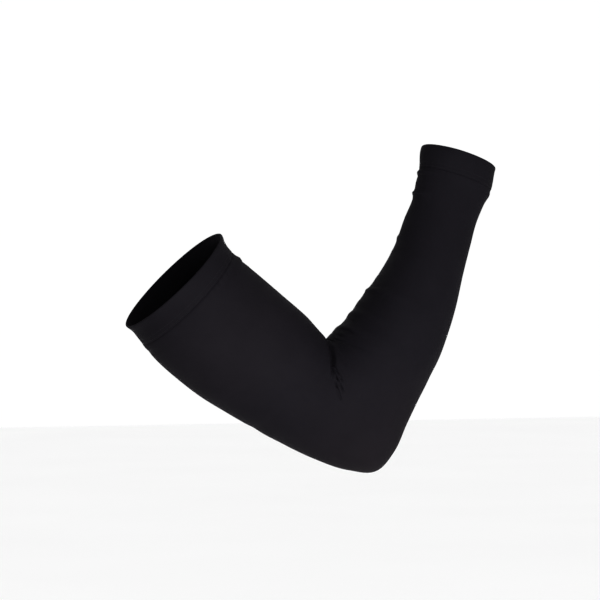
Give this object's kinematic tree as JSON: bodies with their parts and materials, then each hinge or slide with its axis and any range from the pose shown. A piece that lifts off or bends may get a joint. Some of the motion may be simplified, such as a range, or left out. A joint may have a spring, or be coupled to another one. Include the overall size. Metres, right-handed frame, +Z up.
{
  "type": "arm sleeve",
  "caption": "Close-fitting stretch-knit sleeve for a bent arm, open at the upper arm and the wrist, with a turned, stitched hem at each opening.",
  "frame": {"origin": "middle of the upper opening, where the arm comes in", "axes": "+Z up as it is worn, +X from the upper arm towards the wrist, -Y the outer side that the picture shows; the elbow bends in the X-Z plane"},
  "size_m": [0.3309, 0.0958, 0.2829],
  "materials": {
    "knit": "fine stretch knit, matt with a slight sheen",
    "hem": "the same knit, turned and double"
  },
  "bodies": {
    "root": {"sleeve_tube": "knit", "upper_hem": "hem", "wrist_hem": "hem"}
  },
  "joints": []
}
